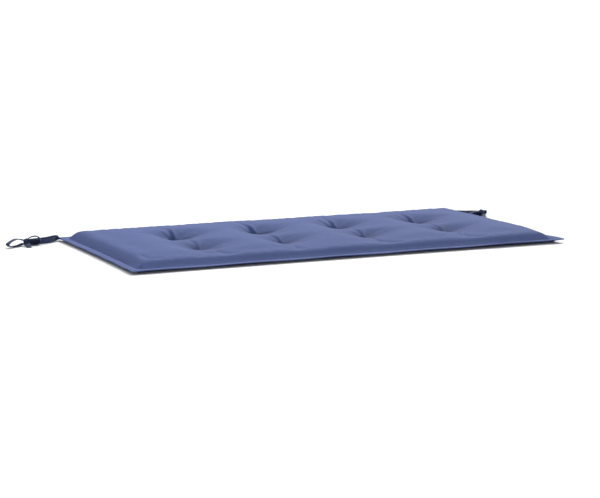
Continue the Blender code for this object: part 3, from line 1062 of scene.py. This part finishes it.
# ---- making the stitches ----
def stitch_tree():
    """One stitch at each point, along the point's way and arched up out of the cloth."""
    tree = bpy.data.node_groups.new("sew", "GeometryNodeTree")
    face = tree.interface
    face.new_socket("Geometry", in_out="INPUT", socket_type="NodeSocketGeometry")
    for name, default in (("Stitch Length", STITCH_LENGTH), ("Thread Width", THREAD_WIDTH),
                          ("Arch", 0.12), ("Unevenness", 0.10)):
        socket = face.new_socket(name, in_out="INPUT", socket_type="NodeSocketFloat")
        socket.default_value = default
    face.new_socket("Seed", in_out="INPUT", socket_type="NodeSocketInt").default_value = 7
    face.new_socket("Thread", in_out="INPUT", socket_type="NodeSocketMaterial")
    face.new_socket("Geometry", in_out="OUTPUT", socket_type="NodeSocketGeometry")
    given = tree.nodes.new("NodeGroupInput").outputs
    result = tree.nodes.new("NodeGroupOutput").inputs
    ends = {"Start": (-0.5, 0, 0), "End": (0.5, 0, 0)}
    line = add_node(tree, "GeometryNodeCurvePrimitiveLine", ends)
    line = add_node(tree, "GeometryNodeResampleCurve", {"Curve": line.outputs[0], "Count": 5})
    spot = tree.nodes.new("GeometryNodeInputPosition").outputs[0]
    apart = add_node(tree, "ShaderNodeSeparateXYZ", {0: spot}).outputs
    square = work_out(tree, "MULTIPLY", apart[0], apart[0])
    fall = work_out(tree, "MULTIPLY", square, work_out(tree, "MULTIPLY", given["Arch"], -4.0))
    offset = add_node(tree, "ShaderNodeCombineXYZ", {2: fall}).outputs[0]
    inputs = {"Geometry": line.outputs[0], "Offset": offset}
    bowed = add_node(tree, "GeometryNodeSetPosition", inputs)
    ring = add_node(tree, "GeometryNodeCurvePrimitiveCircle", {"Resolution": 5, "Radius": 0.5})
    inputs = {"Curve": bowed.outputs[0], "Profile Curve": ring.outputs[0], "Fill Caps": True}
    radius = work_out(tree, "DIVIDE", given["Thread Width"], given["Stitch Length"])
    thin = work_out(tree, "SUBTRACT", 1.0, work_out(tree, "MULTIPLY", square, 1.6))
    inputs["Scale"] = work_out(tree, "MULTIPLY", radius, thin)
    stitch = add_node(tree, "GeometryNodeCurveToMesh", inputs).outputs[0]
    way, up = (
        add_node(tree, "GeometryNodeInputNamedAttribute", {"Name": name},
                 data_type="FLOAT_VECTOR").outputs[0]
        for name in ("way", "up")
    )
    lined = add_node(tree, "FunctionNodeAlignRotationToVector", {"Vector": way}, axis="X")
    inputs = {"Rotation": lined.outputs[0], "Vector": up}
    turned = add_node(tree, "FunctionNodeAlignRotationToVector", inputs, axis="Z", pivot_axis="X")
    lowest = work_out(tree, "SUBTRACT", 1.0, given["Unevenness"])
    highest = work_out(tree, "ADD", 1.0, given["Unevenness"])
    inputs = {2: lowest, 3: highest, "Seed": given["Seed"]}
    chance = add_node(tree, "FunctionNodeRandomValue", inputs, data_type="FLOAT").outputs[1]
    scale = work_out(tree, "MULTIPLY", given["Stitch Length"], chance)
    inputs = {"Points": given["Geometry"], "Instance": stitch, "Rotation": turned.outputs[0],
              "Scale": scale}
    sewn = add_node(tree, "GeometryNodeInstanceOnPoints", inputs).outputs[0]
    solid = add_node(tree, "GeometryNodeRealizeInstances", {"Geometry": sewn}).outputs[0]
    inputs = {"Geometry": solid, "Material": given["Thread"]}
    tree.links.new(add_node(tree, "GeometryNodeSetMaterial", inputs).outputs[0], result[0])
    return tree


def sew(name, places, tree, material, **sizes):
    """Stitches at places, each given as its point, its way and the way up out of the cloth."""
    marks = bpy.data.meshes.new(name)
    marks.from_pydata([tuple(point) for point, _, _ in places], [], [])
    for label, column in (("way", 1), ("up", 2)):
        layer = marks.attributes.new(label, "FLOAT_VECTOR", "POINT")
        layer.data.foreach_set("vector", [part for place in places for part in place[column]])
    holder = add_object(name, marks)
    sewing = holder.modifiers.new("sew", "NODES")
    sewing.node_group = tree
    items = [item for item in tree.interface.items_tree if item.in_out == "INPUT"]
    sockets = {item.name: item.identifier for item in items}
    sewing[sockets["Thread"]] = material
    for size, value in sizes.items():
        sewing[sockets[size.replace("_", " ").title()]] = value
    bpy.context.view_layer.update()
    evaluated = holder.evaluated_get(bpy.context.evaluated_depsgraph_get())
    mesh = bpy.data.meshes.new_from_object(evaluated)
    holder.modifiers.clear()
    bpy.data.objects.remove(holder)
    mesh.name = name
    mesh.shade_smooth()
    piece = add_object(name, mesh)
    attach(piece, "root")


def surface_under(tree, x, y, side):
    """The cover's surface at a place, seen from above or from below."""
    return tree.ray_cast(Vector((x, y, ABOVE_ALL * side.z)), -side)[0]


def seam_places(surface, side):
    """Stitches all round the cushion, along the inner edge of its rim."""
    reach_x, reach_y = LENGTH / 2 - RIM_WIDTH, DEPTH / 2 - RIM_WIDTH
    corner = CORNER_ROUND - RIM_WIDTH
    marks = []
    for centre_x, centre_y, first in ((1, 1, 0), (-1, 1, 90), (-1, -1, 180), (1, -1, 270)):
        for angle in range(first, first + 91, 10):
            turn = math.radians(angle)
            marks.append(Vector((centre_x * (reach_x - corner) + corner * math.cos(turn),
                                 centre_y * (reach_y - corner) + corner * math.sin(turn), 0)))
    marks.append(marks[0])
    lengths = run_lengths(marks)
    count = round(lengths[-1] / STITCH_PITCH)
    runs = np.linspace(0.0, lengths[-1], count, endpoint=False)
    xs = np.interp(runs, lengths, [mark.x for mark in marks])
    ys = np.interp(runs, lengths, [mark.y for mark in marks])
    plan = list(zip(*drawn_in(xs, ys)))
    places = []
    for place, (x, y) in enumerate(plan):
        after = plan[(place + 1) % count]
        before = plan[place - 1]
        point = surface_under(surface, x, y, side)
        way = Vector((after[0] - before[0], after[1] - before[1], 0)).normalized()
        places.append((point + side * THREAD_WIDTH * THREAD_LIFT, way, side))
    return places


def tuft_places(surface, side):
    """Three strands of thread across each tuft, and two over them."""
    places = []
    for column, row, _, turn, _ in TUFTS:
        x, y = (float(value) for value in drawn_in(np.float64(TUFT_COLUMNS[column]),
                                                   np.float64(TUFT_ROWS[row])))
        point = surface_under(surface, x, y, side)
        for way_angle, shifts, lift in TUFT_STRANDS:
            angle = math.radians(way_angle + 3 * turn)
            way = Vector((math.cos(angle), math.sin(angle), 0))
            across = Vector((-way.y, way.x, 0))
            for shift in shifts:
                spot = point + across * shift * MM + side * lift * THREAD_WIDTH
                places.append((spot, way, side))
    return places


# ---- the whole cushion ----
place_camera()
light_studio()
groups = {"weave": weave_group(), "wear_and_shade": wear_and_shade_group(), "crumple": crumple_group()}
tape_finish = cloth_material(
    "tie_tape", groups, (TAPE_NAVY, TAPE_PALE, TAPE_PALE, TAPE_NAVY), (RIB_PITCH, TAPE_PITCH),
    slub=0.6, roughness=0.80, sheen=0.08, bump=0.15,
)
for side, (mirror, knot_place, routes) in SIDES.items():
    make_tie(side, mirror, knot_place, routes, tape_finish)

cover = make_cover()
cover.data.materials.append(cloth_material(
    "woven_cover", groups, (CLOTH_BLUE, CLOTH_PALE, CLOTH_PALE, CLOTH_PAINTED_SHADE),
    (YARN_PITCH, YARN_PITCH), slub=0.55, roughness=0.86, sheen=0.05, bump=0.30,
))
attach(cover, "root")
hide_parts("cushion")

cover_surface = BVHTree.FromPolygons(
    [point.co for point in cover.data.vertices],
    [face.vertices for face in cover.data.polygons],
)
thread = thread_material("thread", THREAD_BLUE)
stitching = stitch_tree()
for label, side in (("upper", UP), ("under", DOWN)):
    sew(f"seam_{label}", seam_places(cover_surface, side), stitching, thread, seed=11)
    sew(f"tufts_{label}", tuft_places(cover_surface, side), stitching, thread,
        stitch_length=TUFT_STITCH_LENGTH, arch=0.10, seed=5)

lay_floor()
